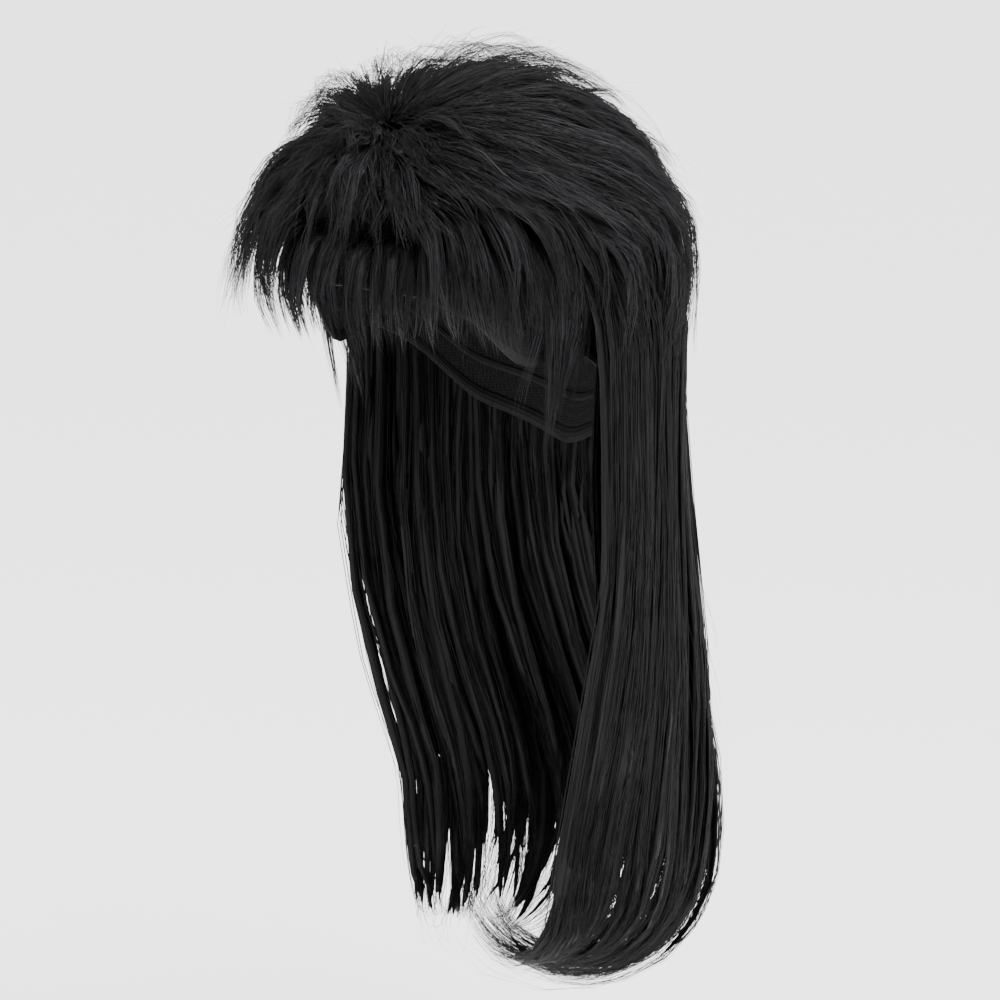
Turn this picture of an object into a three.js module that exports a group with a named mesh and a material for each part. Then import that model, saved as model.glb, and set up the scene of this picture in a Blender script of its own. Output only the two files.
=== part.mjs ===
// A mullet wig of straight black synthetic hair, in the form that it has on a head: short and teased on top,
// a thin fringe over the brow, a point of hair before each ear, and long at the back, where it hangs past the
// shoulders and curls under. The hair is sewn to an elastic cap in rows, called wefts, one below the other
// like roof tiles. Each section of a row is one solid, with its locks side by side and fused along the
// grooves between them. Millimetres, +Z up. The wearer looks along -Y, with the left ear on +X. The origin
// is the top of the head, where the inside of the cap sits on it. Azimuths are degrees round the head, 0 at
// the brow and 90 at the left ear.
import * as THREE from "three";
import { LoftGeometry } from "three/addons/geometries/LoftGeometry.js";
import { mergeVertices } from "three/addons/utils/BufferGeometryUtils.js";

const { clamp, degToRad, lerp, smoothstep } = THREE.MathUtils;

// The head that the cap fits. Its widest level is CROWN_RISE below the top.
const HEAD_WIDTH = 152;
const HEAD_DEPTH = 194;
const CROWN_RISE = 70;
const HEAD_MIDDLE_BACK = 8; // the middle of the head lies this far behind the origin

// The elastic cap
const CAP_WALL = 2;
const NAPE_DROP = 92; // its edge at the nape, below the widest level

// How far the outside of the hair stands off the cap
const TOP_LIFT = 65;
const SIDE_LIFT = 36;
const END_LIFT = 38; // over the brow and behind the head
const FULLNESS = 2.4; // 2 is an egg shape, and more is squarer

// Where the hair ends, below the widest level of the head
const FRINGE_DROP = 15;
const TEMPLE_DROP = 22;
const SIDEBURN_DROP = 66;
const LAYER_DROP = 28; // the short layers over the ears and the back of the head
const TAIL_DROP = 313; // down to where the long hair begins to curl under
const CURL_LENGTH = 150; // round the outside of the curled ends
const CURL_SHARE = 0.5; // the curl's radius, as a share of the hair's own radius there

// The long hair swings round the neck, by this many degrees at its ends
const TAIL_SWING = -20;
const SWING_FROM = 0.4 * TAIL_DROP;

// The long hair spreads out between these drops, where the short layers over it end
const SPREAD_FROM = 0.3 * LAYER_DROP;
const SPREAD_TO = 2.5 * LAYER_DROP;

// The hair's sewn edge, and the way over which it then lifts off the cap
const WEFT_THICKNESS = 3;
const WEFT_GAP = 0.45;
const RISE = 34;
const WHORL_RISE = 14;

const BLACK_HAIR = { color: 0x0d0d0e, roughness: 0.42, metalness: 0 };
const CAP_NET = { color: 0x17171a, roughness: 0.9, metalness: 0 };

// The crown point, from which the hair is combed outwards: a direction from the middle of the head
const CROWN_POINT = new THREE.Vector3(0.1, -0.57, 0.81).normalize();
const MIDDLE = new THREE.Vector3(0, HEAD_MIDDLE_BACK, -CROWN_RISE);
const COMB_RISE = 0.9; // how high the hair is combed over before it falls

// Half widths, half depths and heights of the cap's outside and of the hair's outside
const CAP = new THREE.Vector3(HEAD_WIDTH / 2, HEAD_DEPTH / 2, CROWN_RISE).addScalar(CAP_WALL);
const HAIR = new THREE.Vector3(CAP.x + SIDE_LIFT, CAP.y + END_LIFT, CAP.z + TOP_LIFT);

// Level sections below the head's widest level. Drop is a share of TAIL_DROP. Inner width and depth are
// shares of the cap's, and outer width and depth are shares of the hair's, at the widest level.
const SECTIONS = [
  { drop: 0.0, innerWidth: 1.0, innerDepth: 1.0, outerWidth: 1.0, outerDepth: 1.0 },
  { drop: 0.08, innerWidth: 0.99, innerDepth: 0.98, outerWidth: 0.93, outerDepth: 0.96 },
  { drop: 0.19, innerWidth: 0.95, innerDepth: 0.93, outerWidth: 0.87, outerDepth: 0.94 },
  { drop: 0.3, innerWidth: 0.88, innerDepth: 0.83, outerWidth: 0.86, outerDepth: 0.93 },
  { drop: 0.45, innerWidth: 0.9, innerDepth: 0.81, outerWidth: 0.89, outerDepth: 0.96 },
  { drop: 0.61, innerWidth: 1.0, innerDepth: 0.88, outerWidth: 0.94, outerDepth: 1.02 },
  { drop: 0.77, innerWidth: 1.06, innerDepth: 0.98, outerWidth: 0.98, outerDepth: 1.08 },
  { drop: 0.9, innerWidth: 1.06, innerDepth: 1.04, outerWidth: 0.99, outerDepth: 1.12 },
  { drop: 1.0, innerWidth: 1.02, innerDepth: 1.04, outerWidth: 0.97, outerDepth: 1.11 },
];

// The cap's edge on either side, as a share of NAPE_DROP below the widest level
const EDGE = [
  { azimuth: 0, drop: -0.26 },
  { azimuth: 30, drop: -0.21 },
  { azimuth: 52, drop: 0.0 },
  { azimuth: 70, drop: 0.34 },
  { azimuth: 88, drop: 0.2 },
  { azimuth: 106, drop: 0.34 },
  { azimuth: 132, drop: 0.74 },
  { azimuth: 180, drop: 1.0 },
];

// How the hair swells and thins from its root to its tips, as shares of its full thickness
const SHORT_HAIR = [
  { along: 0.0, thickness: 1.0 },
  { along: 0.1, thickness: 0.7 },
  { along: 0.28, thickness: 0.85 },
  { along: 0.5, thickness: 1.0 },
  { along: 0.75, thickness: 0.95 },
  { along: 0.9, thickness: 0.6 },
  { along: 1.0, thickness: 0.1 },
];
const LONG_HAIR = [
  { along: 0.0, thickness: 1.0 },
  { along: 0.03, thickness: 0.6 },
  { along: 0.08, thickness: 0.5 },
  { along: 0.14, thickness: 0.5 },
  { along: 0.22, thickness: 0.6 },
  { along: 0.34, thickness: 0.9 },
  { along: 0.52, thickness: 1.0 },
  { along: 0.69, thickness: 1.0 },
  { along: 0.78, thickness: 0.95 },
  { along: 0.87, thickness: 0.8 },
  { along: 0.94, thickness: 0.5 },
  { along: 1.0, thickness: 0.08 },
];

// How a lock swells from the groove beside it to its ridge, and how much further it reaches there
const SHORT_LOCK = [
  { across: 0.0, thickness: 0.4, length: 0.8 },
  { across: 0.25, thickness: 0.85, length: 0.93 },
  { across: 0.5, thickness: 1.0, length: 1.0 },
  { across: 0.75, thickness: 0.85, length: 0.93 },
];
const LONG_LOCK = [
  { across: 0.0, thickness: 0.5, length: 0.9 },
  { across: 0.35, thickness: 1.0, length: 1.0 },
  { across: 0.65, thickness: 1.0, length: 1.0 },
];

// The sections of hair, between two azimuths. Root and reach are shares of the way from the crown point to
// the widest level, and drop is how far the locks hang below it, changing to dropTo at the last lock. Level
// and end are heights on the head and at the tips, as shares of the hair's depth from the cap at 0 to the
// outside at 1, and thick is half its thickness as such a share. Ragged is how much the locks vary in length.
const CROWN = { root: 0.17, drop: 0, level: 0.74, thick: 0.075, ragged: 0.12 };
const WHORL = { root: 0.04, level: 0.97, thick: 0.065 };
const LAYER = { root: 0.36, reach: 1, drop: LAYER_DROP, level: 0.55, end: 0.98, thick: 0.075, ragged: 0.08 };
const SIDE = { root: 0.5, reach: 1, level: 0.4, end: 0.14, thick: 0.075, ragged: 0.04, locks: 2 };
const BROW = { level: 0.34, end: 0.22, ragged: 0.12 };
const OUTER = { root: 0.58, reach: 1, level: 0.3, end: 1, thick: 0.16, ragged: 0.06, locks: 3, long: true };
const INNER = { root: 0.78, reach: 1, level: 0.1, end: 0.45, thick: 0.12, ragged: 0.1, locks: 3, long: true };
const [OUTER_DROP, INNER_DROP] = [TAIL_DROP + CURL_LENGTH, TAIL_DROP + 0.55 * CURL_LENGTH];
const [LONGER, SHORTER] = [SIDEBURN_DROP, 0.8 * SIDEBURN_DROP];
const HAIR_SECTIONS = [
  { ...CROWN, ...WHORL, name: "crown_whorl", from: 0, to: 360, locks: 8, reach: 0.5, end: 0.95 },
  { ...CROWN, name: "crown_front", from: -60, to: 60, locks: 7, reach: 1, drop: 12, end: 0.97 },
  { ...CROWN, name: "crown_left", from: 61.5, to: 128, locks: 5, reach: 0.93, end: 1 },
  { ...CROWN, name: "crown_right", from: 232, to: 298.5, locks: 5, reach: 0.93, end: 1 },
  { ...CROWN, name: "crown_back", from: 129.5, to: 230.5, locks: 6, reach: 0.8, level: 0.72, end: 0.97 },
  { ...LAYER, name: "layer_left", from: 94, to: 143.5, locks: 4 },
  { ...LAYER, name: "layer_back", from: 144.7, to: 215.3, locks: 5 },
  { ...LAYER, name: "layer_right", from: 216.5, to: 266, locks: 4 },
  { ...SIDE, ...BROW, name: "fringe", from: -52, to: 52, locks: 9, drop: FRINGE_DROP },
  { ...SIDE, name: "temple_left", from: 53.5, to: 73, drop: TEMPLE_DROP },
  { ...SIDE, name: "temple_right", from: 287, to: 306.5, drop: TEMPLE_DROP },
  { ...SIDE, name: "sideburn_left", from: 74.5, to: 90, drop: LONGER, dropTo: SHORTER },
  { ...SIDE, name: "sideburn_right", from: 270, to: 285.5, drop: SHORTER, dropTo: LONGER },
  { ...OUTER, name: "tail_outer_1", from: 92, to: 126.4, drop: OUTER_DROP },
  { ...OUTER, name: "tail_outer_2", from: 127.6, to: 161.9, drop: OUTER_DROP },
  { ...OUTER, name: "tail_outer_3", from: 163.1, to: 196.9, drop: OUTER_DROP },
  { ...OUTER, name: "tail_outer_4", from: 198.1, to: 232.4, drop: OUTER_DROP },
  { ...OUTER, name: "tail_outer_5", from: 233.6, to: 268, drop: OUTER_DROP },
  { ...INNER, name: "tail_inner_left", from: 104, to: 154.4, drop: INNER_DROP },
  { ...INNER, name: "tail_inner_back", from: 155.6, to: 204.4, drop: INNER_DROP },
  { ...INNER, name: "tail_inner_right", from: 205.6, to: 256, drop: INNER_DROP },
];

// A value of a table's column at a place between its rows
function between(table, key, place, column) {
  const next = table.findIndex((row, i) => i > 0 && (place <= row[key] || i === table.length - 1));
  const [a, b] = [table[next - 1], table[next]];
  return lerp(a[column], b[column], clamp((place - a[key]) / (b[key] - a[key]), 0, 1));
}

// A point on the head at a share of the way that hair is combed from the crown point to the widest level, and
// at a height between the cap and the outside of the hair
function onHead(azimuth, share, height) {
  const angle = degToRad(azimuth);
  const landing = new THREE.Vector3(Math.sin(angle), -Math.cos(angle), 0);
  const over = landing.clone().setZ(COMB_RISE);
  const out = CROWN_POINT.clone().multiplyScalar((1 - share) ** 2);
  out.addScaledVector(over, 2 * share * (1 - share)).addScaledVector(landing, share ** 2).normalize();
  const swell = (Math.hypot(out.x, out.y) ** FULLNESS + Math.abs(out.z) ** FULLNESS) ** (-1 / FULLNESS);
  const outside = out.clone().multiplyScalar(swell).multiply(HAIR);
  return out.multiply(CAP).lerp(outside, height).add(MIDDLE);
}

// A point below the widest level. Past TAIL_DROP the hair turns in under itself, on arcs with one middle.
function hanging(azimuth, drop, height) {
  const fall = Math.min(drop, TAIL_DROP);
  const angle = degToRad(azimuth + TAIL_SWING * smoothstep(fall, SWING_FROM, TAIL_DROP));
  const [across, back] = [Math.sin(angle), -Math.cos(angle)];
  const share = (column) => between(SECTIONS, "drop", fall / TAIL_DROP, column);
  const oval = (wide, deep) => new THREE.Vector3(across * wide, back * deep, 0);
  const inside = oval(CAP.x * share("innerWidth"), CAP.y * share("innerDepth"));
  const outside = oval(HAIR.x * share("outerWidth"), HAIR.y * share("outerDepth"));
  const point = inside.lerp(outside, height);
  if (drop <= TAIL_DROP) return point.setZ(-drop).add(MIDDLE);
  const turn = (drop - TAIL_DROP) / (CURL_SHARE * outside.length());
  const arcMiddle = outside.multiplyScalar(1 - CURL_SHARE);
  const arm = point.sub(arcMiddle);
  const below = -TAIL_DROP - arm.length() * Math.sin(turn);
  return arcMiddle.addScaledVector(arm, Math.cos(turn)).setZ(below).add(MIDDLE);
}

// The length of the way over the head at an azimuth
function wayLength(azimuth) {
  const points = Array.from({ length: 13 }, (_, i) => onHead(azimuth, i / 12, 0.5));
  return points.slice(1).reduce((sum, point, i) => sum + point.distanceTo(points[i]), 0);
}

// A point of a section of hair, some millimetres from its sewn edge. Side is 1 on its top, 0 in its middle
// layer and -1 on its underside.
function hairPoint(section, azimuth, distance, length, side) {
  const way = wayLength(azimuth);
  const share = Math.min(section.reach, section.root + distance / way);
  const drop = Math.max(0, distance - (section.reach - section.root) * way);
  const at = (height) => (share < 1 ? onHead(azimuth, share, height) : hanging(azimuth, drop, height));
  const depth = at(0).distanceTo(at(1));
  const risen = smoothstep(distance, 0, section.root === WHORL.root ? WHORL_RISE : RISE);
  const spread = section.long ? smoothstep(drop, SPREAD_FROM, SPREAD_TO) : distance / length;
  const sewn = (WEFT_GAP + WEFT_THICKNESS / 2) / depth;
  const middle = lerp(sewn, lerp(section.level, section.end, spread), risen);
  return at(middle + side * lerp(WEFT_THICKNESS / 2 / depth, section.thick, risen));
}

// A repeatable number from 0 to 1 for lock i of a section
function scatter(section, i) {
  return Math.abs(Math.sin(12.9898 * (i + 1) + 4.137 * section.from)) % 1;
}

// A surface lofted through rings of points, without the empty faces where points meet
function lofted(rings) {
  const loft = new LoftGeometry(rings, { closed: true });
  const plain = new THREE.BufferGeometry();
  plain.setAttribute("position", loft.getAttribute("position"));
  plain.setIndex(loft.getIndex());
  const merged = mergeVertices(plain, 1e-3);
  const faces = Array.from(merged.index.array);
  const whole = faces.filter((_, i) => new Set(faces.slice(i - (i % 3), i - (i % 3) + 3)).size === 3);
  return merged.setIndex(whole);
}

function named(name, geometry, material) {
  const mesh = new THREE.Mesh(geometry, new THREE.MeshStandardMaterial(material));
  mesh.name = name;
  return mesh;
}

// A section of hair, lofted across from one profile per column: out along the top of the hair and back along
// its underside. It is thin at either end, unless it goes right round.
function hairSection(section) {
  const [hair, columns] = section.long ? [LONG_HAIR, LONG_LOCK] : [SHORT_HAIR, SHORT_LOCK];
  const step = (section.to - section.from) / section.locks;

  const profile = (place, swell, lengthShare) => {
    const azimuth = section.from + place * step;
    const i = Math.min(section.locks - 1, Math.floor(place));
    const drop = lerp(section.drop, section.dropTo ?? section.drop, i / (section.locks - 1));
    const whole = (section.reach - section.root) * wayLength(azimuth) + drop;
    const length = whole * lengthShare * (1 - section.ragged * scatter(section, i));
    const row = (side) => ({ along, thickness }) =>
      hairPoint(section, azimuth, along * length, length, side * thickness * swell);
    return [...hair.map(row(1)), ...hair.toReversed().map(row(-1))];
  };

  const profiles = [];
  for (let i = 0; i < section.locks; i += 1) {
    for (const column of columns) profiles.push(profile(i + column.across, column.thickness, column.length));
  }
  if (section.to - section.from === 360) {
    profiles.push(profiles[0]);
  } else {
    profiles[0] = profile(0, 0, columns[0].length);
    profiles.push(profile(section.locks, 0, columns[0].length));
  }
  return named(section.name, lofted(profiles), BLACK_HAIR);
}

// The cap: one profile per azimuth, down the outside from the top to the edge and back up the inside
const CAP_AZIMUTHS = 34;
const CAP_RINGS = 11;

function capPoint(azimuth, along, wall) {
  const angle = degToRad(azimuth);
  const edge = NAPE_DROP * between(EDGE, "azimuth", azimuth > 180 ? 360 - azimuth : azimuth, "drop");
  const quarter = (Math.PI / 2) * CAP.y;
  const distance = along * (quarter + edge);
  const [width, depth] = [Math.sin(angle) * (CAP.x - wall), -Math.cos(angle) * (CAP.y - wall)];
  if (distance < quarter) {
    const rise = ((1 - distance / quarter) * Math.PI) / 2;
    const level = Math.cos(rise);
    return new THREE.Vector3(width * level, depth * level, (CAP.z - wall) * Math.sin(rise)).add(MIDDLE);
  }
  const drop = distance - quarter;
  const share = (column) => between(SECTIONS, "drop", drop / TAIL_DROP, column);
  return new THREE.Vector3(width * share("innerWidth"), depth * share("innerDepth"), -drop).add(MIDDLE);
}

function cap() {
  const ring = Array.from({ length: CAP_RINGS + 1 }, (_, k) => k / CAP_RINGS);
  const profiles = Array.from({ length: CAP_AZIMUTHS + 1 }, (_, i) => {
    const azimuth = (360 * (i % CAP_AZIMUTHS)) / CAP_AZIMUTHS;
    const outside = ring.map((along) => capPoint(azimuth, along, 0));
    const inside = ring.map((along) => capPoint(azimuth, 1 - along, CAP_WALL));
    return [...outside, ...inside];
  });
  return named("wig_cap", lofted(profiles), CAP_NET);
}

const wig = new THREE.Group();
wig.name = "mullet_wig";
wig.add(cap());
for (const section of HAIR_SECTIONS) wig.add(hairSection(section));

export default wig;
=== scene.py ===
import math

import bpy
import numpy as np
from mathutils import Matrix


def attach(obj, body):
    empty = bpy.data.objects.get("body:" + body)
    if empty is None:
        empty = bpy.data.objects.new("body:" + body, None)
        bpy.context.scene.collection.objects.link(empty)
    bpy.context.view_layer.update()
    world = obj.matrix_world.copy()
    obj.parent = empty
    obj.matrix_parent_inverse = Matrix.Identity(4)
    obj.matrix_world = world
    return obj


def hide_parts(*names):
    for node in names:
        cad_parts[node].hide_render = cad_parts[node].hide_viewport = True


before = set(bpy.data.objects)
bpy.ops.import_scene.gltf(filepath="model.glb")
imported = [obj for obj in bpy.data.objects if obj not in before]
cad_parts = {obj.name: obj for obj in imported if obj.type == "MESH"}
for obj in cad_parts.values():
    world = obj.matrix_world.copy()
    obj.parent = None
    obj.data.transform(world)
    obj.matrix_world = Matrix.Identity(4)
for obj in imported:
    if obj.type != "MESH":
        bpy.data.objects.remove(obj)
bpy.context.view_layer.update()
bpy.ops.object.select_all(action="DESELECT")


# Camera: a long lens in front of the wearer's left side, a little above the brow. The wig hangs in the
# middle of the view, and the inside of the cap's top lies a little left of it and well above it.
VIEW_TURN = 43
VIEW_RISE = 10
VIEW_DISTANCE = 2.8
PIXELS_PER_METRE = 1800
PICTURE_SIZE = 1000
TOP_ACROSS = 459
TOP_DOWN = 175
SENSOR_WIDTH = 36

turn, rise = math.radians(VIEW_TURN), math.radians(VIEW_RISE)
view_right = np.array([math.cos(turn), math.sin(turn), 0])
view_back = np.array([math.cos(rise) * math.sin(turn), -math.cos(rise) * math.cos(turn), math.sin(rise)])
view_up = np.cross(view_back, view_right)
target = view_right * (PICTURE_SIZE / 2 - TOP_ACROSS) - view_up * (PICTURE_SIZE / 2 - TOP_DOWN)
target = target / PIXELS_PER_METRE
bpy.ops.object.camera_add(location=target + view_back * VIEW_DISTANCE,
                          rotation=(math.pi / 2 - rise, 0, turn))
camera = bpy.context.object
camera.data.sensor_width = SENSOR_WIDTH
camera.data.lens = SENSOR_WIDTH * PIXELS_PER_METRE * VIEW_DISTANCE / PICTURE_SIZE
bpy.context.scene.camera = camera


# Cap: a fine elastic net that stretches over the head, cut out round the ears. It is knitted in one piece
# and hemmed, and every row of hair is sewn to it. Lengths are millimetres, with the middle of the head at
# MIDDLE, and azimuths are degrees round the head from the brow, 90 at the left ear.
MM = 0.001
HEAD_WIDTH = 152
HEAD_DEPTH = 194
CROWN_RISE = 70
CAP_WALL = 2
NAPE_DROP = 92
TAIL_DROP = 313
MIDDLE = np.array([0, 8, -CROWN_RISE])
CAP = np.array([HEAD_WIDTH / 2, HEAD_DEPTH / 2, CROWN_RISE]) + CAP_WALL
NET_THICKNESS = 1.0
EDGE_AZIMUTH = [0, 30, 52, 70, 88, 106, 132, 180]
EDGE_DROP = [-0.26, -0.21, 0.0, 0.34, 0.2, 0.34, 0.74, 1.0]

# Level sections below the widest level of the head: drop as a share of TAIL_DROP, the cap's width and depth
# as shares of those at the widest level, and the outside of the hair in the same way
SECTIONS = np.array([
    (0.00, 1.00, 1.00, 1.00, 1.00),
    (0.08, 0.99, 0.98, 0.93, 0.96),
    (0.19, 0.95, 0.93, 0.87, 0.94),
    (0.30, 0.88, 0.83, 0.86, 0.93),
    (0.45, 0.90, 0.81, 0.89, 0.96),
    (0.61, 1.00, 0.88, 0.94, 1.02),
    (0.77, 1.06, 0.98, 0.98, 1.08),
    (0.90, 1.06, 1.04, 0.99, 1.12),
    (1.00, 1.02, 1.04, 0.97, 1.11),
])
INNER_WIDTH, INNER_DEPTH, OUTER_WIDTH, OUTER_DEPTH = 1, 2, 3, 4

# The edge is cut in one smooth line, so the table's corners are rounded off
around = np.arange(-60, 421)
edge_line = np.interp(180 - np.abs(180 - around % 360), EDGE_AZIMUTH, EDGE_DROP)
EDGE_LINE = np.convolve(edge_line, np.hanning(27) / np.hanning(27).sum(), "same")[60:-60]


def section_share(drop, column):
    return np.interp(drop / TAIL_DROP, SECTIONS[:, 0], SECTIONS[:, column])


def cap_point(azimuth, along, wall):
    """A point of the cap, from its top at along 0 to its edge at 1, and a wall's depth inside it."""
    angle = np.radians(azimuth)
    edge = NAPE_DROP * np.interp(azimuth % 360, np.arange(361), EDGE_LINE)
    quarter = math.pi / 2 * CAP[1]
    distance = along * (quarter + edge)
    climb = np.clip(1 - distance / quarter, 0, 1) * math.pi / 2
    drop = np.maximum(0, distance - quarter)
    width = np.sin(angle) * (CAP[0] - wall) * np.cos(climb) * section_share(drop, INNER_WIDTH)
    depth = -np.cos(angle) * (CAP[1] - wall) * np.cos(climb) * section_share(drop, INNER_DEPTH)
    height = np.where(drop > 0, -drop, (CAP[2] - wall) * np.sin(climb))
    return np.stack([width, depth, height], -1) + MIDDLE


def linear(hex_colour):
    """A colour as the screen shows it, turned into the light that the shader works in."""
    channels = [int(hex_colour[i:i + 2], 16) / 255 for i in (1, 3, 5)]
    return [c / 12.92 if c <= 0.04045 else ((c + 0.055) / 1.055) ** 2.4 for c in channels] + [1]


def shader_node(material, kind, settings=None, sockets=None):
    """Adds a node to a material: its own settings, and its sockets as values or as other nodes' outputs."""
    node = material.node_tree.nodes.new(kind)
    for field, value in (settings or {}).items():
        setattr(node, field, value)
    for socket, value in (sockets or {}).items():
        if isinstance(value, bpy.types.NodeSocket):
            material.node_tree.links.new(value, node.inputs[socket])
        else:
            node.inputs[socket].default_value = value
    return node


def new_material(name):
    material = bpy.data.materials.new(name)
    material.use_nodes = True
    material.node_tree.nodes.clear()
    return material


def ramp(material, factor, stops):
    """Colours along a factor: stops are pairs of place and screen colour."""
    node = shader_node(material, "ShaderNodeValToRGB", sockets={"Fac": factor})
    for i, (place, hex_colour) in enumerate(stops):
        elements = node.color_ramp.elements
        stop = elements[i] if i < len(elements) else elements.new(place)
        stop.position = place
        stop.color = linear(hex_colour)
    return node.outputs["Color"]


def surface(material, sockets):
    shader = shader_node(material, "ShaderNodeBsdfPrincipled", sockets=sockets)
    shader_node(material, "ShaderNodeOutputMaterial", sockets={"Surface": shader.outputs["BSDF"]})
    return material


# Knitted elastic net, black and matt: 1.6 mm meshes, which show as small dark holes between thin raised
# yarns
MESH_SIZE = 1.6 * MM
net = new_material("cap_elastic_net")
place = shader_node(net, "ShaderNodeTexCoord").outputs["Object"]
holes = shader_node(net, "ShaderNodeTexVoronoi", {"feature": "DISTANCE_TO_EDGE"},
                    {"Vector": place, "Scale": 1 / MESH_SIZE, "Randomness": 0.35})
yarn = shader_node(net, "ShaderNodeMapRange", sockets={
    "Value": holes.outputs["Distance"], "From Min": 0.05, "From Max": 0.3, "To Min": 1.0, "To Max": 0.0})
lift = shader_node(net, "ShaderNodeBump", sockets={
    "Strength": 0.8, "Distance": 0.3 * MM, "Height": yarn.outputs["Result"]})
surface(net, {
    "Base Color": ramp(net, yarn.outputs["Result"], [(0.0, "#040405"), (1.0, "#131315")]),
    "Roughness": 0.85, "Specular IOR Level": 0.2, "Normal": lift.outputs["Normal"]})

bpy.ops.mesh.primitive_uv_sphere_add(segments=80, ring_count=40, radius=1, location=(0, 0, 0))
cap = bpy.context.object
cap.name = "cap_net"
bpy.ops.object.mode_set(mode="EDIT")
bpy.ops.mesh.select_all(action="DESELECT")
bpy.ops.object.mode_set(mode="OBJECT")
for vertex in cap.data.vertices:
    vertex.select = vertex.co.z < -0.9999
bpy.ops.object.mode_set(mode="EDIT")
bpy.ops.mesh.delete(type="VERT")
bpy.ops.object.mode_set(mode="OBJECT")
ball = np.array([vertex.co[:] for vertex in cap.data.vertices])
fall = np.arccos(np.clip(ball[:, 2], -1, 1))
shaped = cap_point(np.degrees(np.arctan2(ball[:, 0], -ball[:, 1])), fall / fall.max(), CAP_WALL / 2) * MM
cap.data.vertices.foreach_set("co", shaped.ravel())
wall = cap.modifiers.new("net_thickness", "SOLIDIFY")
wall.thickness = NET_THICKNESS * MM
wall.offset = 0
bpy.ops.object.modifier_apply(modifier="net_thickness")
bpy.ops.object.shade_smooth()
cap.data.materials.clear()
cap.data.materials.append(net)
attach(cap, "root")
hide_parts("wig_cap")


# Weft tapes and hem: the hair is sewn into narrow woven tapes, and these are stitched to the net in level
# rows, about 20 mm apart. The cap's edge is hemmed with a wider elastic tape. Both show inside the cap.
TAPE_ROWS = [0.2, 0.34, 0.47, 0.59, 0.7, 0.8, 0.89]
TAPE_HEIGHT = 4.0
HEM_HEIGHT = 7.0
TAPE_THICKNESS = 1.8
TAPE_BEVEL = 0.35
HEM_ALONG = 0.97
MEAN_EDGE_DROP = 40
TAPE_PER_DEGREE = 1.4

# Woven elastic tape, black with a dull sheen: fine cross ribs, and two rows of slightly paler stitches
tape = new_material("woven_elastic_tape")
weave = shader_node(tape, "ShaderNodeUVMap", {"uv_map": "tape_millimetres"}).outputs["UV"]
ribs = shader_node(tape, "ShaderNodeTexWave", {"bands_direction": "X"}, {
    "Vector": weave, "Scale": 0.26, "Distortion": 0.6, "Detail": 1.0})
rows = shader_node(tape, "ShaderNodeTexWave", {"bands_direction": "Y"}, {
    "Vector": weave, "Scale": 0.16, "Distortion": 0.0})
both = shader_node(tape, "ShaderNodeMath", {"operation": "MULTIPLY"}, {
    0: ribs.outputs["Fac"], 1: rows.outputs["Fac"]})
raised = shader_node(tape, "ShaderNodeBump", sockets={
    "Strength": 0.7, "Distance": 0.35 * MM, "Height": both.outputs["Value"]})
surface(tape, {
    "Base Color": ramp(tape, both.outputs["Value"], [(0.0, "#060607"), (0.7, "#111113"), (1.0, "#202023")]),
    "Roughness": 0.7, "Specular IOR Level": 0.2, "Normal": raised.outputs["Normal"]})


def tape_round_cap(along, height):
    """A tape round the cap at a share of the way to its edge: a circle, extruded and given its thickness."""
    bpy.ops.object.select_all(action="DESELECT")
    bpy.ops.mesh.primitive_circle_add(vertices=80, radius=1, fill_type="NOTHING")
    band = bpy.context.object
    bpy.ops.object.mode_set(mode="EDIT")
    bpy.ops.mesh.select_all(action="SELECT")
    bpy.ops.mesh.extrude_region_move(TRANSFORM_OT_translate={"value": (0, 0, -1)})
    bpy.ops.object.mode_set(mode="OBJECT")
    circle = np.array([vertex.co[:] for vertex in band.data.vertices])
    azimuth = np.degrees(np.arctan2(circle[:, 0], -circle[:, 1]))
    step = -circle[:, 2] * height / (math.pi / 2 * CAP[1] + MEAN_EDGE_DROP)
    placed = cap_point(azimuth, along + step, CAP_WALL / 2) * MM
    band.data.vertices.foreach_set("co", placed.ravel())
    woven = band.data.uv_layers.new(name="tape_millimetres")
    for face in band.data.polygons:
        middle = np.mean([azimuth[i] for i in face.vertices])
        for corner in face.loop_indices:
            i = band.data.loops[corner].vertex_index
            turns = round((middle - azimuth[i]) / 360) if abs(middle) > 1 else 0
            along_tape = (azimuth[i] + 360 * turns) * TAPE_PER_DEGREE
            woven.data[corner].uv = (along_tape, -circle[i, 2] * height)
    bpy.ops.object.mode_set(mode="EDIT")
    bpy.ops.mesh.select_all(action="SELECT")
    bpy.ops.mesh.normals_make_consistent(inside=False)
    bpy.ops.object.mode_set(mode="OBJECT")
    thick = band.modifiers.new("tape_thickness", "SOLIDIFY")
    thick.thickness = TAPE_THICKNESS * MM
    thick.offset = 0
    bpy.ops.object.modifier_apply(modifier="tape_thickness")
    soft = band.modifiers.new("tape_edges", "BEVEL")
    soft.width = TAPE_BEVEL * MM
    soft.segments = 1
    bpy.ops.object.modifier_apply(modifier="tape_edges")
    bpy.ops.object.shade_smooth()
    return band


tapes = [tape_round_cap(along, TAPE_HEIGHT) for along in TAPE_ROWS]
tapes.append(tape_round_cap(HEM_ALONG, HEM_HEIGHT))
for band in tapes:
    band.select_set(True)
bpy.context.view_layer.objects.active = tapes[-1]
bpy.ops.object.join()
weft_tapes = bpy.context.object
weft_tapes.name = "weft_tapes"
weft_tapes.data.materials.clear()
weft_tapes.data.materials.append(tape)
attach(weft_tapes, "root")


# Hair underneath, at the nape: straight black synthetic fibre, sewn low on the cap and hanging inside the
# long hair. Hair is made as locks. Each lock has a solid body, so that none of the cap shows through, with
# loose fibres laid along it that spread from its sewn end and draw together at its tip.

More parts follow.
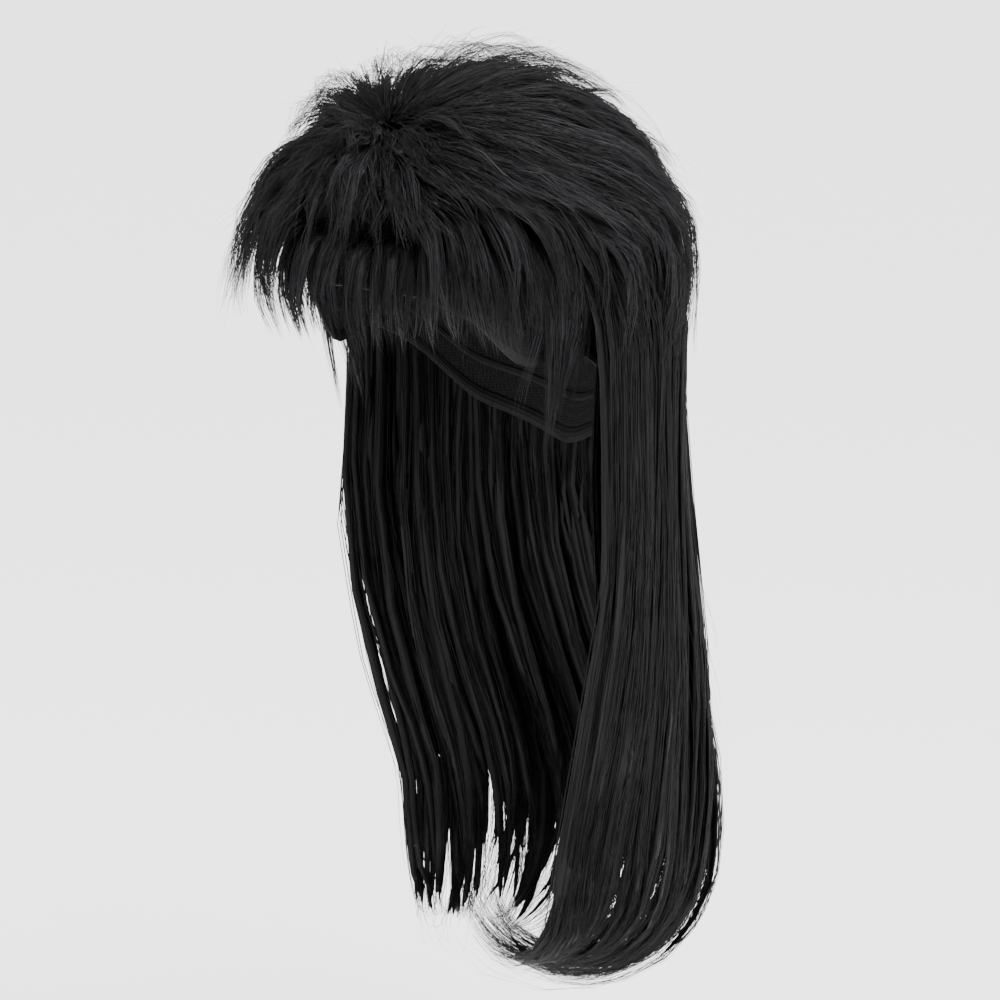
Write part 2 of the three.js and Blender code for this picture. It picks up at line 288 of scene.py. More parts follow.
# How far the outside of the hair stands off the cap, in millimetres, and how square its outline is there
TOP_LIFT = 65
SIDE_LIFT = 36
END_LIFT = 38
FULLNESS = 2.4
HAIR = CAP + [SIDE_LIFT, END_LIFT, TOP_LIFT]

# The direction of the crown point from the middle of the head, and how high hair arches on its way from it
CROWN_POINT = np.array([0.1, -0.57, 0.81]) / np.linalg.norm([0.1, -0.57, 0.81])
COMB_RISE = 0.9

# The long hair swings round the head by TAIL_SWING degrees, from SWING_FROM down to TAIL_DROP. Past that it
# turns in, on an arc of CURL_SHARE of its distance from the middle.
TAIL_SWING = -20
SWING_FROM = 0.4 * TAIL_DROP
CURL_SHARE = 0.5


def unit(vectors):
    return vectors / np.maximum(np.linalg.norm(vectors, axis=-1, keepdims=True), 1e-9)


def ease(value, start, end):
    share = np.clip((value - start) / (end - start), 0, 1)
    return share * share * (3 - 2 * share)


def on_head(azimuth, share, height):
    """A point on hair combed from the crown point to the widest level, between the cap and the outside."""
    angle = np.radians(azimuth)
    landing = np.stack([np.sin(angle), -np.cos(angle), 0 * angle], -1)
    over = landing + [0, 0, COMB_RISE]
    s = share[..., None]
    out = unit((1 - s) ** 2 * CROWN_POINT + 2 * s * (1 - s) * over + s ** 2 * landing)
    level = np.hypot(out[..., 0], out[..., 1])
    swell = (level ** FULLNESS + np.abs(out[..., 2]) ** FULLNESS) ** (-1 / FULLNESS)
    inside, outside = out * CAP, out * swell[..., None] * HAIR
    return inside + (outside - inside) * height[..., None] + MIDDLE


def hanging(azimuth, drop, height):
    """A point on hair below the widest level. Past TAIL_DROP it turns in under itself."""
    fall = np.minimum(drop, TAIL_DROP)
    angle = np.radians(azimuth + TAIL_SWING * ease(fall, SWING_FROM, TAIL_DROP))
    across, back = np.sin(angle), -np.cos(angle)

    def oval(size, width, depth):
        return np.stack([across * size[0] * section_share(fall, width),
                         back * size[1] * section_share(fall, depth), 0 * fall], -1)

    inside, outside = oval(CAP, INNER_WIDTH, INNER_DEPTH), oval(HAIR, OUTER_WIDTH, OUTER_DEPTH)
    point = inside + (outside - inside) * height[..., None]
    reach = np.linalg.norm(outside, axis=-1)
    turned = np.maximum(0, drop - TAIL_DROP) / (CURL_SHARE * reach)
    arc_middle = outside * (1 - CURL_SHARE)
    arm = point - arc_middle
    point = arc_middle + arm * np.cos(turned)[..., None]
    point[..., 2] = -fall - np.linalg.norm(arm, axis=-1) * np.sin(turned)
    return point + MIDDLE


# The length of hair from the crown point to the widest level, measured every 3 degrees in 12 steps
WAY_AZIMUTH = np.arange(0, 361, 3.0)
WAY_POINTS = 13
way_points = on_head(WAY_AZIMUTH[:, None] + np.zeros(WAY_POINTS),
                     np.linspace(0, 1, WAY_POINTS) + 0 * WAY_AZIMUTH[:, None],
                     np.full((len(WAY_AZIMUTH), WAY_POINTS), 0.5))
WAY = np.linalg.norm(np.diff(way_points, axis=1), axis=-1).sum(axis=1)


def way_length(azimuth):
    return np.interp(azimuth % 360, WAY_AZIMUTH, WAY)


LEVEL_STEP = 0.04


def combed(azimuth, root, distance, height):
    """Points on hair some millimetres from its root, with the directions across it and out from the head."""
    share = root + distance / way_length(azimuth)
    drop = np.maximum(0, distance - (1 - root) * way_length(azimuth))

    def at(level):
        over, below = on_head(azimuth, np.minimum(share, 1), level), hanging(azimuth, drop, level)
        return np.where((share < 1)[..., None], over, below)

    return at(height), unit(at(height + LEVEL_STEP) - at(height - LEVEL_STEP))


def eased_table(places, rows):
    """Values between the rows of a table of place and value, without corners."""
    keys, values = np.array(rows, float).T
    fine = np.linspace(0, 1, 61)
    line = np.interp(fine, keys, values)
    padded = np.concatenate([np.full(5, line[0]), line, np.full(5, line[-1])])
    line = np.convolve(padded, np.hanning(13)[1:-1] / np.hanning(13)[1:-1].sum(), "valid")
    return np.interp(places, fine, line)


# Hair is darker near its root, where the hair above it takes the light: its tone there, and how far that goes
ROOT_TONE = 0.35
ROOT_SHADE_REACH = 0.35


def tubes(points, outward, half_width, half_thick, sides, tone):
    """Closed tubes along lines of points: their corners, their faces, and a fibre pattern in millimetres."""
    count, steps = points.shape[:2]
    along = unit(np.gradient(points, axis=1))
    outward = unit(outward - (outward * along).sum(-1, keepdims=True) * along)
    across = np.cross(along, outward)
    angle = math.pi / 2 + 2 * math.pi * np.arange(sides) / sides
    wide = half_width[:, 1:-1, None, None] * np.cos(angle)[:, None] * across[:, 1:-1, None]
    high = half_thick[:, 1:-1, None, None] * np.sin(angle)[:, None] * outward[:, 1:-1, None]
    rings = points[:, 1:-1, None] + wide + high
    corners = np.concatenate([points[:, :1], rings.reshape(count, -1, 3), points[:, -1:]], 1)

    i, j = np.meshgrid(np.arange(steps - 3), np.arange(sides), indexing="ij")
    i, j = i.ravel(), j.ravel()
    a, b = 1 + i * sides + j, 1 + i * sides + (j + 1) % sides
    quads = np.stack([a, a + sides, b + sides, b], -1)
    quad_uv = np.stack([np.stack([j, j, j + 1, j + 1], -1), np.stack([i, i + 1, i + 1, i], -1) + 1], -1)
    j = np.arange(sides)
    first, last, tip = 1 + j, 1 + (steps - 3) * sides + j, 1 + (steps - 2) * sides
    follow = (j + 1) % sides - j
    starts = np.stack([0 * j, first, first + follow], -1)
    ends = np.stack([last, 0 * j + tip, last + follow], -1)
    start_uv = np.stack([np.stack([j + 0.5, j, j + 1], -1), np.tile([0, 1, 1], (sides, 1))], -1)
    end_uv = np.stack([np.stack([j, j + 0.5, j + 1], -1),
                       np.tile([steps - 2, steps - 1, steps - 2], (sides, 1))], -1)
    shift = corners.shape[1] * np.arange(count)[:, None, None]

    lit = ease(np.arange(steps) / (steps - 1), 0, ROOT_SHADE_REACH)[1:-1]
    rings_shaded = np.repeat(ROOT_TONE + (1 - ROOT_TONE) * lit, sides)
    shaded = np.concatenate([[ROOT_TONE], rings_shaded, [1.0]])
    length = np.linalg.norm(np.diff(points, axis=1), axis=-1).sum(1)
    girth = 2.2 * (half_width.max(1) + half_thick.max(1))
    scatter = np.arange(count) * 7.37 % 211

    def pattern(grid):
        u = scatter[:, None, None] + grid[..., 0] / sides * girth[:, None, None]
        v = scatter[:, None, None] * 3.1 + grid[..., 1] / (steps - 1) * length[:, None, None]
        return np.stack([u, v], -1).reshape(-1, 2)

    return {
        "corners": corners.reshape(-1, 3),
        "quads": (quads + shift).reshape(-1, 4), "quad_uv": pattern(quad_uv),
        "triangles": np.concatenate([(starts + shift).reshape(-1, 3), (ends + shift).reshape(-1, 3)]),
        "triangle_uv": np.concatenate([pattern(start_uv), pattern(end_uv)]),
        "tone": (tone[:, None] * shaded).ravel(),
    }


def joined_mesh(name, parts):
    """One mesh of many tubes, with the pattern as a UV map and each tube's tone, with its painted shade, as
    an attribute.
    """
    first = np.cumsum([0] + [len(part["corners"]) for part in parts])
    corners = np.concatenate([part["corners"] for part in parts])
    quads = np.concatenate([part["quads"] + first[k] for k, part in enumerate(parts)])
    triangles = np.concatenate([part["triangles"] + first[k] for k, part in enumerate(parts)])
    loops = np.concatenate([quads.ravel(), triangles.ravel()])
    starts = np.concatenate([np.arange(len(quads)) * 4, len(quads) * 4 + np.arange(len(triangles)) * 3])
    uv = np.concatenate([part["quad_uv"] for part in parts] + [part["triangle_uv"] for part in parts])
    mesh = bpy.data.meshes.new(name)
    mesh.vertices.add(len(corners))
    mesh.vertices.foreach_set("co", (corners * MM).ravel())
    mesh.loops.add(len(loops))
    mesh.loops.foreach_set("vertex_index", loops.astype(np.int32))
    mesh.polygons.add(len(starts))
    mesh.polygons.foreach_set("loop_start", starts.astype(np.int32))
    mesh.polygons.foreach_set("use_smooth", np.ones(len(starts), bool))
    mesh.update(calc_edges=True)
    mesh.uv_layers.new(name="fibre_millimetres").data.foreach_set("uv", uv.astype(np.float32).ravel())
    # Each corner's tone holds random tone, painted sheen and painted shade together
    tone = np.concatenate([part["tone"] for part in parts]).astype(np.float32)
    mesh.attributes.new("fibre_tone_and_shade", "FLOAT", "POINT").data.foreach_set("value", tone)
    piece = bpy.data.objects.new(name, mesh)
    bpy.context.collection.objects.link(piece)
    return piece


# How far short hair is combed back on its way down, for each azimuth at its root. All are degrees. It also
# lies a little closer to the head on its way, by COMBED_DIP.
COMBED_BACK = [(-170, 0), (-130, -10), (-90, -20), (-55, -18), (-25, -6), (0, 0), (30, 17), (60, 30),
               (90, 30), (130, 12), (170, 0)]
COMBED_DIP = 0.09

# A lock's width from root to tip, its body's width, and a fibre's, as shares of the widest
LOCK_TAPER = [(0.0, 0.6), (0.15, 0.9), (0.5, 1.0), (0.75, 0.9), (0.9, 0.65), (1.0, 0.4)]
BODY_TAPER = [(0.0, 0.5), (0.15, 0.9), (0.5, 1.0), (0.7, 0.85), (0.9, 0.4), (1.0, 0.1)]
FIBRE_TAPER = [(0.0, 0.9), (0.5, 1.0), (0.8, 0.8), (1.0, 0.3)]

# A lock's body is a flat ribbed tube, smaller than the fibres round it, as shares of theirs, and darker:
# painted shade for the depth under the fibres
BODY_WIDTH = 0.8
BODY_THICK = 0.3
BODY_SHADE = 0.25
BODY_SIDES = 6
FIBRE_SIDES = 3

# Fibres are drawn together into a few tufts across the lock, by a share of their distance from the nearest
TUFTS_A_SIDE = 1.6
TUFT_PULL = 0.6

# One whole wave, in radians
CYCLE = 6.28

# What a row of the tables of locks says, unless it says otherwise. Stations are places along a lock. Root and
# reach are shares of the way from the crown point to the widest level, and drop is millimetres below it.
# Levels are heights between the cap at 0 and the outside of the hair at 1, along the lock, and scatter is how
# far locks differ from them. Width and thick are the lock's half sizes in millimetres, fine is a fibre's half
# thickness, and cut is how short its shortest fibres are. Bend, wave and sweep move a lock sideways, flick
# turns its end outwards, roll lifts and lowers it in waves, and rise lifts its lower end, by azimuth. Gather
# draws neighbours together over groups of so many degrees, fray parts the fibres, and back is how much of
# COMBED_BACK it takes.
LOCK = {"stations": np.linspace(0, 1, 8), "fibres": 34, "body": (0.55, 0.75), "sink": 3,
        "root": (0.1, 0.5), "reach": (1, 1), "drop": (0, 0), "levels": [(0, 0.5), (1, 1)], "scatter": 0.03,
        "width": (4, 7), "thick": (1.4, 2.6), "fine": (0.15, 0.32), "cut": 0.6, "bend": 6, "wave": 2,
        "flick": (0, 4), "sweep": (0, 0), "gather": 0.0, "groups": 9.0, "fray": 1.0, "tone": (0.05, 1.0),
        "back": 1.0, "roll": 1.5, "rise": [(0, 0), (360, 0)]}


def lay_locks(random, row):
    """Tubes for a row of locks: their bodies, then the fibres laid along them."""
    row = {**LOCK, **row}
    count, t = row["locks"], np.array(row["stations"])

    def spread(key):
        return random.uniform(*row[key], count)

    def along_lock(lines, parent, share):
        """Points of the parents' lines at shares of their length, for each station."""
        place = share[:, None] * t
        k = np.clip(np.searchsorted(t, place, side="right") - 1, 0, len(t) - 2)
        part_way = ((place - t[k]) / (t[k + 1] - t[k]))[..., None]
        return lines[parent[:, None], k] * (1 - part_way) + lines[parent[:, None], k + 1] * part_way

    slots = (random.permutation(count) + random.random(count)) / count
    start = row["from"] + (row["to"] - row["from"]) * slots
    root = spread("root")
    length = (spread("reach") - root) * way_length(start) + spread("drop")
    group = row["groups"] * np.round(start / row["groups"] + random.uniform(-0.3, 0.3, count))
    azimuth = start[:, None] + ((group - start) * row["gather"])[:, None] * ease(t, 0.3, 1.0)
    back = row["back"] * np.interp((start + 180) % 360 - 180, *np.array(COMBED_BACK).T)
    share = root[:, None] + length[:, None] * t / way_length(start)[:, None]
    azimuth = azimuth + back[:, None] * ease(share, 0.15, 1.0)
    uneven = random.normal(0, row["scatter"], count)[:, None]
    level = eased_table(t, row["levels"]) + uneven * ease(t, 0, 0.5)
    level = level - row["back"] * COMBED_DIP * ease(share, 0.2, 0.45) * (1 - ease(share, 0.65, 0.9))
    points, outward = combed(azimuth, root[:, None], length[:, None] * t, level)
    across = np.cross(outward, unit(np.gradient(points, axis=1)))
    phase = random.uniform(0, CYCLE, count)[:, None]
    turns = random.uniform(0.7, 1.6, count)[:, None]
    sideways = spread("sweep")[:, None] * t ** 3
    sideways = sideways + random.uniform(-1, 1, count)[:, None] * row["bend"] * t ** 2
    sideways = sideways + row["wave"] * (np.sin(phase + CYCLE * turns * t) - np.sin(phase)) * t
    lifted = spread("flick")[:, None] * ease(t, 0.55, 1.0) ** 1.5
    lifted = lifted + row["roll"] * np.sin(2 * phase + 9 * turns * t) * ease(t, 0.1, 0.5)
    points = points + across * sideways[..., None] + outward * lifted[..., None]
    points[..., 2] += np.interp(start, *np.array(row["rise"]).T)[:, None] * ease(t, 0.4, 0.85)
    width, thick, tone = spread("width")[:, None], spread("thick")[:, None], spread("tone")
    parts = []

    if row["body"]:
        own, shorter = np.arange(count), spread("body")
        taper = eased_table(shorter[:, None] * t, BODY_TAPER)
        sunk = -row["sink"] * ease(t, 0, 0.2)[:, None]
        facing = along_lock(outward, own, shorter)
        # The body's tone is a small share of the lock's: painted shade under its fibres
        parts.append(tubes(along_lock(points, own, shorter) + facing * sunk, facing,
                           BODY_WIDTH * width * taper, BODY_THICK * thick * taper, BODY_SIDES,
                           BODY_SHADE * tone))

    parent = np.repeat(np.arange(count), row["fibres"])
    total = len(parent)
    share = 1 - (1 - row["cut"]) * random.random(total) ** 1.2
    lines, facing = along_lock(points, parent, share), along_lock(outward, parent, share)
    beside = along_lock(across, parent, share)
    place = share[:, None] * t
    u = random.uniform(-1, 1, total)
    tuft = np.round(u * TUFTS_A_SIDE + random.uniform(-0.3, 0.3, total)) / TUFTS_A_SIDE
    tuft = np.clip(tuft, -1, 1)
    u = u[:, None] + (tuft - u)[:, None] * TUFT_PULL * ease(place, 0.3, 1.0)
    v = random.uniform(-0.8, 1, total)[:, None] * np.sqrt(np.maximum(0.1, 1 - np.minimum(1, u ** 2)))
    fray = row["fray"] * random.uniform(0.3, 1, total)[:, None] ** 2
    phase = random.uniform(0, CYCLE, (2, total, 1))
    turns = random.uniform(0.8, 2.4, (2, total, 1))
    stray = [fray * (np.sin(phase[i] + CYCLE * turns[i] * t) - np.sin(phase[i])) * t for i in (0, 1)]
    taper = eased_table(place, LOCK_TAPER)
    sideways = u * width[parent] * taper + stray[0]
    outwards = v * thick[parent] * taper + 0.6 * stray[1]
    lines = lines + beside * sideways[..., None] + facing * outwards[..., None]
    fine = random.uniform(*row["fine"], total)[:, None] * eased_table(t, FIBRE_TAPER)
    # A fibre takes half its lock's tone and a random share of its own. Locks differ at random, and the paler
    # ones are painted sheen, clumps that catch the light.
    shade = np.clip(0.5 * tone[parent] + random.uniform(0, 0.6, total), 0, 1)
    parts.append(tubes(lines, facing, fine, 0.8 * fine, FIBRE_SIDES, shade))
    return parts


def synthetic_hair(name, darkest, middling, palest_sheen, gloss):
    """Modacrylic fibre, spun black: streaks along the fibre in its roughness and bumps, painted sheen in its
    colour, and no two fibres quite alike.
    """
    material = new_material(name)
    fibre = shader_node(material, "ShaderNodeUVMap", {"uv_map": "fibre_millimetres"}).outputs["UV"]
    drawn = shader_node(material, "ShaderNodeMapping", sockets={"Vector": fibre, "Scale": (1.1, 0.015, 1)})
    streaks = shader_node(material, "ShaderNodeTexNoise", {"noise_dimensions": "2D"}, {
        "Vector": drawn.outputs["Vector"], "Scale": 1.0, "Detail": 3.0, "Roughness": 0.65})
    tone = shader_node(material, "ShaderNodeAttribute", {"attribute_name": "fibre_tone_and_shade"})
    mixed = shader_node(material, "ShaderNodeMath", {"operation": "MULTIPLY_ADD"}, {
        0: streaks.outputs["Fac"], 1: 1.8, 2: tone.outputs["Fac"]})
    shade = shader_node(material, "ShaderNodeMapRange", sockets={
        "Value": mixed.outputs["Value"], "From Min": 0.55, "From Max": 2.2})
    rough = shader_node(material, "ShaderNodeMapRange", sockets={
        "Value": streaks.outputs["Fac"], "From Min": 0.3, "From Max": 0.7, "To Min": gloss - 0.08,
        "To Max": gloss + 0.16})
    grooves = shader_node(material, "ShaderNodeBump", sockets={
        "Strength": 1.0, "Distance": 0.6 * MM, "Height": streaks.outputs["Fac"]})
    # The pale end of these colours is painted sheen: streaks and locks lightened where light would catch the
    # fibre
    colour = ramp(material, shade.outputs["Result"], [(0.0, darkest), (0.5, middling), (1.0, palest_sheen)])
    return surface(material, {
        "Base Color": colour, "Roughness": rough.outputs["Result"],
        "Specular IOR Level": 0.12, "Normal": grooves.outputs["Normal"]})


def hair_piece(name, nodes, material, seed, rows):
    """A piece of hair: its rows of locks in one mesh, riding on the wig in place of its plain solids."""
    random = np.random.default_rng(seed)
    piece = joined_mesh(name, [part for row in rows for part in lay_locks(random, row)])
    piece.data.materials.append(material)
    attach(piece, "root")
    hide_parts(*nodes)
    return piece


# Colours are black fibre, and at their palest a cool grey that is painted sheen, where the light would catch
# it
long_hair = synthetic_hair("long_black_synthetic_hair", "#030303", "#080809", "#19191b", 0.44)
NAPE_LEVELS = [(0, 0.05), (0.06, 0.12), (0.25, 0.14), (0.5, 0.42), (1, 0.5)]
LONG_STATIONS = [0, 0.06, 0.14, 0.24, 0.38, 0.54, 0.7, 0.78, 0.85, 0.9, 0.95, 1]
hair_piece("nape_hair", ["tail_inner_left", "tail_inner_back", "tail_inner_right"], long_hair, 11, [
    {"from": 104, "to": 256, "locks": 96, "stations": LONG_STATIONS, "fibres": 7, "body": (0.7, 0.9),
     "sink": 0, "cut": 0.75, "back": 0, "root": (0.76, 0.86), "drop": (340, 420), "levels": NAPE_LEVELS,
     "scatter": 0.07, "width": (3, 6), "thick": (1.0, 2.0), "fine": (0.2, 0.4), "bend": 14, "wave": 4,
     "flick": (-3, 3), "gather": 0.4, "groups": 14, "fray": 2.0},
])


# Long hair: the layer that makes the tail. It is sewn in rows from ear to ear round the back of the cap,
# falls straight past the shoulders and is set in a curl that turns under at the ends.
TAIL_LEVELS = [(0, 0.15), (0.04, 0.28), (0.12, 0.52), (0.19, 1.06), (0.28, 1.12), (0.45, 1.0), (0.62, 1.04),
               (0.8, 1.12), (0.9, 1.2), (1, 1.15)]
FAR_LEVELS = [(0, 0.15), (0.04, 0.28), (0.12, 0.52), (0.19, 1.02), (0.28, 1.12), (0.42, 1.2), (0.55, 1.05),
              (0.7, 0.9), (1, 0.85)]
TAIL_STATIONS = [0, 0.06, 0.12, 0.18, 0.26, 0.4, 0.56, 0.7, 0.77, 0.82, 0.86, 0.9, 0.94, 0.97, 1]
TAIL = {"stations": TAIL_STATIONS, "fibres": 21, "body": (0.74, 0.95), "sink": 1, "back": 0,
        "root": (0.56, 0.7), "drop": (430, 482), "levels": TAIL_LEVELS, "scatter": 0.07, "width": (6, 10),
        "thick": (1.6, 2.6), "fine": (0.18, 0.4), "cut": 0.8, "bend": 14, "wave": 5.5, "roll": 2.0,
        "flick": (-3, 4), "gather": 0.3, "groups": 11, "fray": 1.8,
        "rise": [(92, 12), (112, 5), (132, -3), (165, -3), (200, 0)]}
STRAYS = {"body": None, "fibres": 2, "width": (1, 3), "thick": (1, 2), "fine": (0.08, 0.14), "fray": 7,
          "scatter": 0.04}
TAIL_STRAYS = {**TAIL, **STRAYS, "levels": TAIL_LEVELS[:-1] + [(1, 1.2)], "bend": 18, "flick": (1, 9)}
hair_piece("tail_hair_left", ["tail_outer_1", "tail_outer_2"], long_hair, 21, [
    {**TAIL, "from": 92, "to": 162, "locks": 58},
    {**TAIL_STRAYS, "from": 95, "to": 162, "locks": 50},
    {**TAIL_STRAYS, "from": 100, "to": 175, "locks": 22, "drop": (468, 496), "flick": (6, 20),
     "fine": (0.1, 0.18)},
    {**TAIL_STRAYS, "from": 120, "to": 170, "locks": 26, "drop": (190, 340), "flick": (4, 13)},
])
hair_piece("tail_hair_back", ["tail_outer_3"], long_hair, 22, [
    {**TAIL, "from": 162, "to": 198, "locks": 30},
    {**TAIL_STRAYS, "from": 162, "to": 198, "locks": 26},
])
hair_piece("tail_hair_right", ["tail_outer_4", "tail_outer_5"], long_hair, 23, [
    {**TAIL, "from": 198, "to": 266, "locks": 84, "fibres": 13, "body": (0.78, 0.94), "drop": (410, 470),
     "levels": FAR_LEVELS, "width": (3, 6), "sweep": (8, 18), "gather": 0.35, "groups": 13,
     "cut": 0.68, "fray": 4.0},
    {**TAIL_STRAYS, "from": 198, "to": 265, "locks": 40},
])


# Temples and sideburns: short straight hair before the ears. The sideburn is cut to a point that hangs in
# front of the ear, and the temple hair is swept back a little over its top.
short_hair = synthetic_hair("short_black_synthetic_hair", "#040405", "#0d0d0e", "#2c2c2f", 0.42)
SIDE = {"fibres": 20, "sink": 0.5, "root": (0.48, 0.62),
        "levels": [(0, 0.05), (0.2, 0.32), (0.6, 0.36), (1, 0.16)], "scatter": 0.05, "width": (3, 5),
        "thick": (0.8, 1.4), "roll": 0.3, "bend": 4, "wave": 1.5, "flick": (-1, 2), "fray": 1.2}
OVER_TEMPLE = {"root": (0.3, 0.5), "drop": (0, 24), "back": 0.35, "fibres": 18, "width": (2.5, 5), "bend": 10,
               "levels": [(0, 0.2), (0.3, 0.68), (0.7, 0.66), (1, 0.42)], "scatter": 0.06, "gather": 0.3}
hair_piece("temple_hair", ["temple_left", "temple_right"], short_hair, 31, [
    {**OVER_TEMPLE, "from": 30, "to": 84, "locks": 26},
    {**OVER_TEMPLE, "from": 280, "to": 342, "locks": 30,
     "levels": [(0, 0.2), (0.3, 0.8), (0.7, 0.8), (1, 0.5)]},
    {**SIDE, "from": 50, "to": 74, "locks": 18, "drop": (6, 26), "sweep": (4, 14), "back": 0},
    {**SIDE, "from": 286, "to": 310, "locks": 18, "drop": (6, 26), "sweep": (-14, -4), "back": 0},
])
hair_piece("sideburn_hair", ["sideburn_left", "sideburn_right"], short_hair, 32, [
    {**SIDE, "from": 74, "to": 90, "locks": 14, "drop": (50, 80), "gather": 0.6, "groups": 16, "back": 0},
    {**SIDE, "from": 270, "to": 286, "locks": 14, "drop": (50, 80), "gather": 0.6, "groups": 16, "back": 0},
])


# Fringe: thin, straight and cut ragged. Its locks are narrow and part from each other towards their tips,
# with gaps between them that can be looked through.
FRINGE_LEVELS = [(0, 0.05), (0.25, 0.4), (0.7, 0.38), (1, 0.2)]
hair_piece("fringe_hair", ["fringe"], short_hair, 41, [
    {**SIDE, "from": -52, "to": 52, "locks": 44, "drop": (8, 24), "levels": FRINGE_LEVELS,
     "width": (1.8, 3.4), "thick": (0.5, 0.9), "fibres": 16, "sink": 0, "back": 0, "bend": 6,
     "gather": 0.5, "groups": 7, "fray": 1.6},
    {**SIDE, "from": -52, "to": 52, "locks": 70, "drop": (4, 26), "levels": FRINGE_LEVELS,
     "width": (2, 4), "thick": (0.6, 1.1), "fibres": 4, "body": None, "fine": (0.1, 0.18), "back": 0,
     "bend": 10, "fray": 3},
])


# Short layers over the ears and the back of the head: cut to end just below the head's widest level, so that
# the long hair comes out from under them. Their ends are feathered.
LAYER = {"root": (0.34, 0.6), "drop": (0, 76), "fibres": 20,
         "levels": [(0, 0.3), (0.15, 0.6), (0.5, 0.93), (1, 1.06)], "scatter": 0.06, "width": (2.5, 5.5),
         "bend": 12, "wave": 3.5, "flick": (-4, 3), "fray": 2.5, "roll": 2.5, "gather": 0.3}
hair_piece("layer_hair", ["layer_left", "layer_back", "layer_right"], short_hair, 51, [
    {**LAYER, "from": 66, "to": 288, "locks": 120},
    {**LAYER, **STRAYS, "from": 66, "to": 288, "locks": 40, "flick": (3, 12)},
])


# Crown: teased short hair that makes the height of the wig, in ragged layers one over the other. The ends of
# each layer lift off the one below, and those over the brow and the temples flick outwards.
CROWN = {"root": (0.06, 0.44), "reach": (0.68, 1.04), "fibres": 19,
         "levels": [(0, 0.5), (0.2, 0.76), (0.5, 0.93), (1, 1.0)], "scatter": 0.055, "width": (2.5, 5.5),
         "bend": 16, "wave": 4, "flick": (-3, 4), "fray": 3.0, "roll": 2.5, "gather": 0.25}
CROWN_STRAYS = {**CROWN, **STRAYS, "levels": [(0, 0.8), (0.3, 0.95), (1, 1.04)], "flick": (3, 14),
                "fray": 8}
hair_piece("crown_hair_front", ["crown_front"], short_hair, 61, [
    {**CROWN, "from": -62, "to": -18, "locks": 40, "root": (0.05, 0.36), "reach": (0.86, 1.06),
     "levels": [(0, 0.5), (0.2, 0.74), (0.5, 0.86), (1, 0.95)], "body": (0.5, 0.68), "cut": 0.48,
     "fray": 6.0},
    {**CROWN, "from": -54, "to": -16, "locks": 14, "root": (0.2, 0.5), "reach": (0.9, 1.06), "fibres": 10,
     "levels": [(0, 0.3), (0.4, 0.66), (1, 0.8)], "fray": 5.0},
    {**CROWN, "from": -26, "to": 12, "locks": 34, "root": (0.05, 0.4), "reach": (0.55, 0.96),
     "levels": [(0, 0.5), (0.25, 0.86), (0.55, 0.82), (1, 0.46)]},
    {**CROWN, "from": 4, "to": 60, "locks": 54, "root": (0.05, 0.4), "reach": (0.66, 1.0)},
    {**CROWN_STRAYS, "from": -60, "to": 60, "locks": 70, "reach": (0.6, 0.95)},
    {**CROWN_STRAYS, "from": -62, "to": -24, "locks": 40, "root": (0.3, 0.6), "reach": (0.75, 1.0),
     "flick": (8, 26)},
])
hair_piece("crown_hair_left", ["crown_left"], short_hair, 62, [
    {**CROWN, "from": 56, "to": 130, "locks": 78},
    {**CROWN_STRAYS, "from": 60, "to": 129, "locks": 36},
])
hair_piece("crown_hair_right", ["crown_right"], short_hair, 63, [
    {**CROWN, "from": 230, "to": 306, "locks": 66},
    {**CROWN, "from": 300, "to": 326, "locks": 26, "reach": (1, 1), "drop": (0, 14), "flick": (2, 12),
     "back": 0, "gather": 0.4, "groups": 14, "body": (0.5, 0.68), "cut": 0.48, "fray": 6.0},
    {**CROWN_STRAYS, "from": 231, "to": 305, "locks": 44},
])
hair_piece("crown_hair_back", ["crown_back"], short_hair, 64, [
    {**CROWN, "from": 128, "to": 232, "locks": 84, "reach": (0.5, 0.96)},
    {**CROWN_STRAYS, "from": 128, "to": 232, "locks": 50},
])
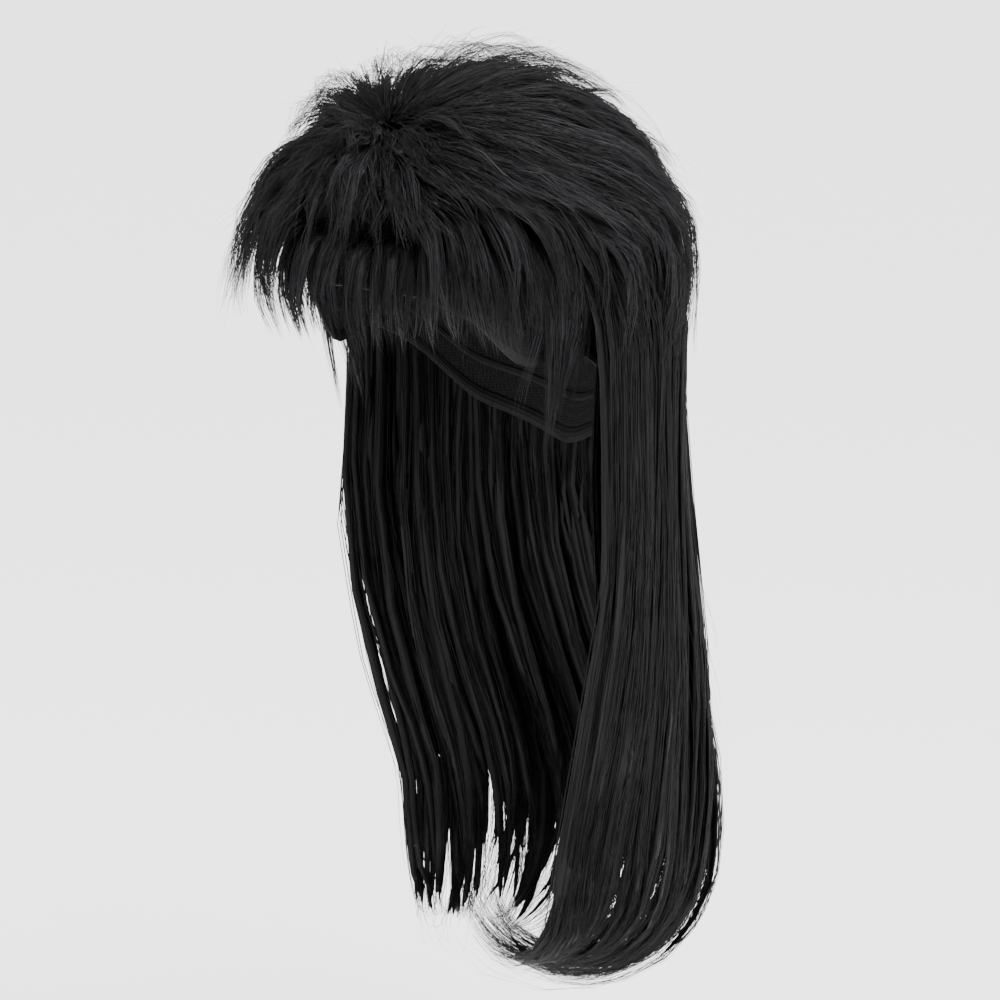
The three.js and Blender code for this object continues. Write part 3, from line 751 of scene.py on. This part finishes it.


# Whorl: the crown point, where the topmost hair parts and lies outwards all round. It is teased, so short
# fibres stand up round it, and the net below stays hidden in its shade. Its locks take a darker tone: painted
# shade.
WHORL = {"root": (0.02, 0.14), "reach": (0.3, 0.75), "from": 0, "to": 360, "fibres": 17,
         "levels": [(0, 0.72), (0.25, 0.84), (0.6, 0.94), (1, 0.97)], "scatter": 0.045, "width": (2, 4.5),
         "bend": 18, "wave": 6, "flick": (-2, 5), "fray": 4.5, "roll": 2.5, "tone": (0.0, 0.6)}
hair_piece("whorl_hair", ["crown_whorl"], short_hair, 71, [
    {**WHORL, "locks": 104, "fibres": 15},
    {**WHORL, "locks": 40, "root": (0.0, 0.06), "reach": (0.25, 0.5), "fibres": 7, "width": (4, 7),
     "sink": 0, "levels": [(0, 0.04), (0.25, 0.4), (0.6, 0.66), (1, 0.76)]},
    {**WHORL, **STRAYS, "from": 120, "to": 320, "locks": 84, "root": (0.03, 0.16), "reach": (0.4, 0.7),
     "fibres": 5, "levels": [(0, 0.8), (0.35, 1.1), (0.7, 1.08), (1, 1.0)], "flick": (0, 6), "bend": 10,
     "width": (3, 6), "fray": 4},
    {**WHORL, **STRAYS, "locks": 130, "root": (0.0, 0.2), "reach": (0.2, 0.5), "fibres": 2,
     "levels": [(0, 0.8), (0.4, 1.0), (1, 1.1)], "flick": (2, 14), "bend": 14, "fray": 7},
])


# Studio: a plain pale floor, well below the hanging ends. One very broad soft light shines from above and
# from the wearer's left, with a large lamp on each side.
FLOOR_DROP = 0.62
FLOOR_SIZE = 60
floor_paint = new_material("pale_matt_floor")
mottle = shader_node(floor_paint, "ShaderNodeTexNoise", sockets={"Scale": 1.5, "Detail": 2.0})
surface(floor_paint, {
    "Base Color": ramp(floor_paint, mottle.outputs["Fac"], [(0.3, "#f3f3f3"), (0.7, "#f6f6f6")]),
    "Roughness": 0.9})
bpy.ops.object.select_all(action="DESELECT")
bpy.ops.mesh.primitive_plane_add(size=FLOOR_SIZE, location=(0, 0, -FLOOR_DROP))
floor = bpy.context.object
floor.name = "studio_floor"
floor.data.materials.append(floor_paint)

LAMP_AIM_DROP = 0.15
LAMPS = [
    {"name": "lamp_left", "place": (-1.4, -2.0, 1.3), "size": 1.4, "power": 60},
    {"name": "lamp_right", "place": (2.3, 0.5, 1.0), "size": 1.4, "power": 76},
]
for lamp in LAMPS:
    bpy.ops.object.light_add(type="AREA", location=lamp["place"])
    light = bpy.context.object
    light.name = lamp["name"]
    light.data.size = lamp["size"]
    light.data.energy = lamp["power"]
    x, y, z = lamp["place"]
    light.rotation_euler = (math.atan2(math.hypot(x, y), z + LAMP_AIM_DROP), 0, math.atan2(x, -y))

OVERHEAD_TILT = (8, 38, 0)
OVERHEAD_STRENGTH = 10
OVERHEAD_BREADTH = 50
bpy.ops.object.light_add(type="SUN", rotation=[math.radians(degrees) for degrees in OVERHEAD_TILT])
overhead = bpy.context.object
overhead.name = "overhead_light"
overhead.data.energy = OVERHEAD_STRENGTH
overhead.data.angle = math.radians(OVERHEAD_BREADTH)

SKY_STRENGTH = 0.8
world = bpy.data.worlds.new("studio_white")
world.use_nodes = True
world.node_tree.nodes["Background"].inputs["Color"].default_value = (1, 1, 1, 1)
world.node_tree.nodes["Background"].inputs["Strength"].default_value = SKY_STRENGTH
bpy.context.scene.world = world
